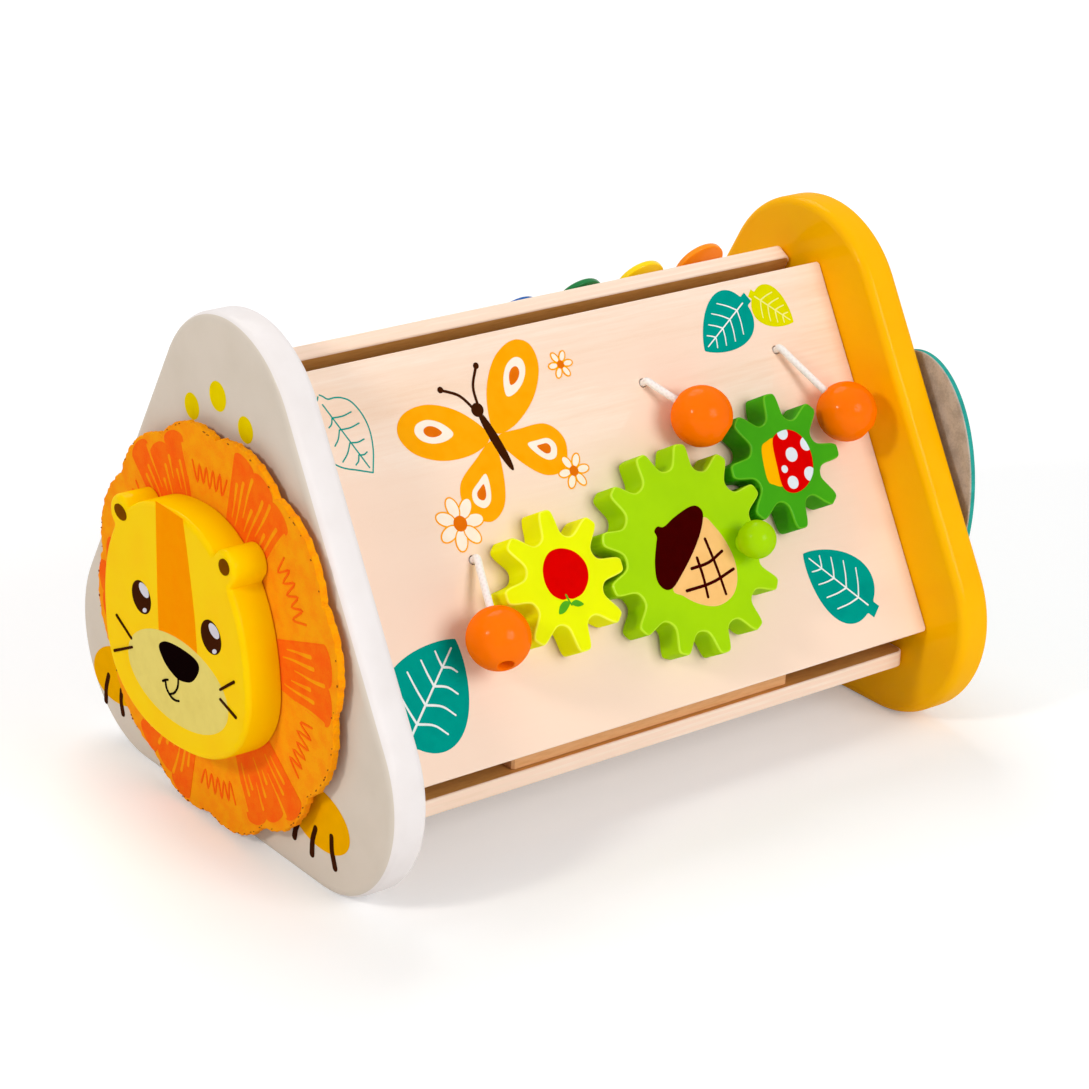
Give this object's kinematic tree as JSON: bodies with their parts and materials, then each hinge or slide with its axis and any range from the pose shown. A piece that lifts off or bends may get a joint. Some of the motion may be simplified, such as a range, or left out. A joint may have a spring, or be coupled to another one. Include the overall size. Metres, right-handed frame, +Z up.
{
  "type": "activity box",
  "caption": "Triangular wooden activity box for a small child, with a lion end, toothed wheels that turn together, balls on cords and a row of metal bars.",
  "frame": {"origin": "on the ground, under the middle of the box", "axes": "+X along the box from the lion end to the far end, -Y towards the side with the toothed wheels, +Z up"},
  "size_m": [0.3456, 0.227, 0.2094],
  "materials": {
    "white_lacquer": "glossy white lacquer on wood",
    "orange_lacquer": "glossy yellow-orange lacquer on wood",
    "plywood": "pale plywood, satin clear coat",
    "beech": "plain beech",
    "mane_felt": "stiff orange felt",
    "lion_lacquer": "glossy yellow lacquer on wood",
    "teal_felt": "stiff teal felt with a grey back",
    "grey_blue_lacquer": "glossy grey-blue lacquer on wood",
    "lime_lacquer": "glossy lime lacquer on wood",
    "yellow_lacquer": "glossy yellow lacquer on wood",
    "green_lacquer": "glossy green lacquer on wood",
    "bead_lacquer": "glossy orange lacquer on wood",
    "cord_braid": "soft white braid",
    "strip_felt": "pale felt",
    "bar_orange": "lacquered steel",
    "bar_yellow": "lacquered steel",
    "bar_green": "lacquered steel",
    "bar_blue": "lacquered steel",
    "bar_purple": "lacquered steel",
    "bar_pink": "lacquered steel",
    "bar_red": "lacquered steel",
    "bar_sky": "lacquered steel"
  },
  "bodies": {
    "box": {"end_panel_lion": "white_lacquer", "end_panel_far": "orange_lacquer", "front_board": "plywood", "rear_board": "plywood", "base_board": "plywood", "brace_block": "plywood", "mane_spacer": "plywood", "lion_mane": "mane_felt", "lion_head": "lion_lacquer", "far_spacer": "plywood", "far_ears": "teal_felt", "far_head": "grey_blue_lacquer", "bar_1": "bar_orange", "bar_2": "bar_yellow", "bar_3": "bar_green", "bar_4": "bar_blue", "bar_5": "bar_purple", "bar_6": "bar_pink", "bar_7": "bar_red", "bar_8": "bar_sky", "bar_rail_upper": "beech", "rail_strip_upper": "strip_felt", "bar_rail_lower": "beech", "rail_strip_lower": "strip_felt"},
    "large_wheel": {"gear_large": "lime_lacquer", "axle_large": "beech", "axle_cap_large": "beech", "crank_peg": "beech", "crank_knob": "lime_lacquer"},
    "yellow_wheel": {"gear_yellow": "yellow_lacquer", "axle_yellow": "beech", "axle_cap_yellow": "beech"},
    "small_wheel": {"gear_small": "green_lacquer", "axle_small": "beech", "axle_cap_small": "beech"},
    "left_ball": {"bead_left": "bead_lacquer", "cord_left": "cord_braid", "bead_knot_left": "cord_braid", "stop_knot_left": "cord_braid"},
    "middle_ball": {"bead_middle": "bead_lacquer", "cord_middle": "cord_braid", "bead_knot_middle": "cord_braid", "stop_knot_middle": "cord_braid"},
    "right_ball": {"bead_right": "bead_lacquer", "cord_right": "cord_braid", "bead_knot_right": "cord_braid", "stop_knot_right": "cord_braid"}
  },
  "joints": [
    {"name": "large_wheel_spin", "type": "hinge", "parent": "box", "child": "large_wheel", "pos_m": [0.018, -0.06348, 0.09693], "axis": [0, -0.866, 0.5], "continuous": true},
    {"name": "yellow_wheel_spin", "type": "hinge", "parent": "box", "child": "yellow_wheel", "pos_m": [-0.04498, -0.06266, 0.09836], "axis": [0, -0.866, 0.5], "continuous": true},
    {"name": "small_wheel_spin", "type": "hinge", "parent": "box", "child": "small_wheel", "pos_m": [0.07599, -0.05117, 0.11825], "axis": [0, -0.866, 0.5], "continuous": true},
    {"name": "left_ball_swing", "type": "hinge", "parent": "box", "child": "left_ball", "pos_m": [-0.0739, -0.05403, 0.1133], "axis": [0, -0.866, 0.5], "range_deg": [-100, 0]},
    {"name": "middle_ball_swing", "type": "hinge", "parent": "box", "child": "middle_ball", "pos_m": [0.0277, -0.02848, 0.15755], "axis": [0, -0.866, 0.5], "range_deg": [0, 150]},
    {"name": "right_ball_swing", "type": "hinge", "parent": "box", "child": "right_ball", "pos_m": [0.0987, -0.02813, 0.15816], "axis": [0, -0.866, 0.5], "range_deg": [0, 11]}
  ],
  "couplings": [
    {"joint": "yellow_wheel_spin", "follows": "large_wheel_spin", "ratio": -1.625},
    {"joint": "small_wheel_spin", "follows": "large_wheel_spin", "ratio": -1.625}
  ]
}
